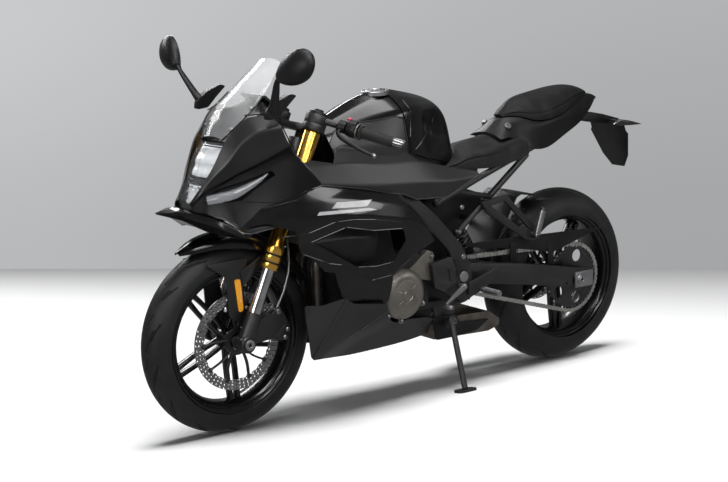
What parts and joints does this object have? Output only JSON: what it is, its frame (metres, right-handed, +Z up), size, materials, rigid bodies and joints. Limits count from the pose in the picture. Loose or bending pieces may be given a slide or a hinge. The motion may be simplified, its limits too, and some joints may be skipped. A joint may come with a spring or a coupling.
{
  "type": "sport motorcycle",
  "caption": "Faired sport motorcycle parked on its side stand, with steering, free wheels, chain drive, low bars, stepped seat and a folding stand.",
  "frame": {"origin": "on the ground under the middle of the parked machine's box", "axes": "+X forward, +Y to the rider's left, +Z up"},
  "size_m": [2.0513, 0.8102, 1.2528],
  "materials": {
    "amber_lens": "translucent amber",
    "bare_aluminium": "satin",
    "black_plastic": "grained",
    "chain_steel": "oiled",
    "disc_steel": "brushed",
    "engine_black": "cast black",
    "engine_bronze": "satin bronze grey",
    "exhaust_steel": "heat tinted",
    "gloss_black": "gloss",
    "gold_anodised": "anodised gold",
    "grip_rubber": "moulded",
    "indicator_smoke": "smoked lens",
    "lamp_clear": "clear lens",
    "lamp_red": "translucent red",
    "polished_tube": "polished",
    "radiator_black": "finned black",
    "rim_black": "satin",
    "satin_black": "satin",
    "screen_clear": "clear",
    "seat_vinyl": "matt vinyl",
    "silencer_black": "matt",
    "tyre_rubber": "matt"
  },
  "bodies": {
    "chassis": {"chain": "chain_steel", "swingarm": "satin_black", "rear_axle": "bare_aluminium", "frame_spars": "satin_black", "head_tube": "satin_black", "pivot_bolt": "bare_aluminium", "rear_subframe": "satin_black", "engine_block": "engine_black", "generator_cover": "engine_bronze", "radiator": "radiator_black", "exhaust_headers": "exhaust_steel", "silencer": "silencer_black", "fuel_tank": "gloss_black", "fuel_cap": "bare_aluminium", "tank_covers": "satin_black", "tail_cowl": "black_plastic", "rider_seat": "seat_vinyl", "pillion_seat": "seat_vinyl", "rear_lamps": "lamp_red", "plate_holder": "black_plastic", "rear_indicators": "indicator_smoke", "headlight": "lamp_clear", "nose_panels": "gloss_black", "running_lights": "lamp_clear", "beak": "gloss_black", "windshield": "screen_clear", "dashboard": "black_plastic", "side_fairings": "gloss_black", "vent_panels": "black_plastic", "belly_pan": "satin_black", "mirrors": "black_plastic", "rear_caliper": "satin_black", "rear_hugger": "black_plastic", "shock": "satin_black", "footrests": "bare_aluminium", "foot_controls": "bare_aluminium", "passenger_rests": "satin_black", "stand_bracket": "satin_black"},
    "steering": {"fork_tubes": "gold_anodised", "fork_legs": "polished_tube", "fork_clamps": "satin_black", "handlebars": "satin_black", "grips": "grip_rubber", "bar_controls": "black_plastic", "front_fender": "gloss_black", "reflectors": "amber_lens", "front_caliper": "satin_black", "front_axle": "bare_aluminium"},
    "front_wheel": {"front_tyre": "tyre_rubber", "front_rim": "rim_black", "front_disc": "disc_steel"},
    "rear_wheel": {"rear_tyre": "tyre_rubber", "rear_rim": "rim_black", "rear_sprocket": "satin_black", "rear_disc": "disc_steel"},
    "side_stand": {"side_stand": "satin_black"}
  },
  "joints": [
    {"name": "steering_turn", "type": "hinge", "parent": "chassis", "child": "steering", "pos_m": [0.45536, -0.04534, 0.8504], "axis": [-0.3907, 0.144, 0.9092], "range_deg": [-27, 27]},
    {"name": "front_wheel_spin", "type": "hinge", "parent": "steering", "child": "front_wheel", "pos_m": [0.72566, -0.13294, 0.29729], "axis": [0, 0.9877, -0.1564], "continuous": true},
    {"name": "rear_wheel_spin", "type": "hinge", "parent": "chassis", "child": "rear_wheel", "pos_m": [-0.68934, -0.13106, 0.30914], "axis": [0, 0.9877, -0.1564], "continuous": true},
    {"name": "side_stand_fold", "type": "hinge", "parent": "chassis", "child": "side_stand", "pos_m": [-0.08934, -0.01039, 0.22726], "axis": [0, 0.9355, 0.3534], "range_deg": [0, 99]}
  ]
}
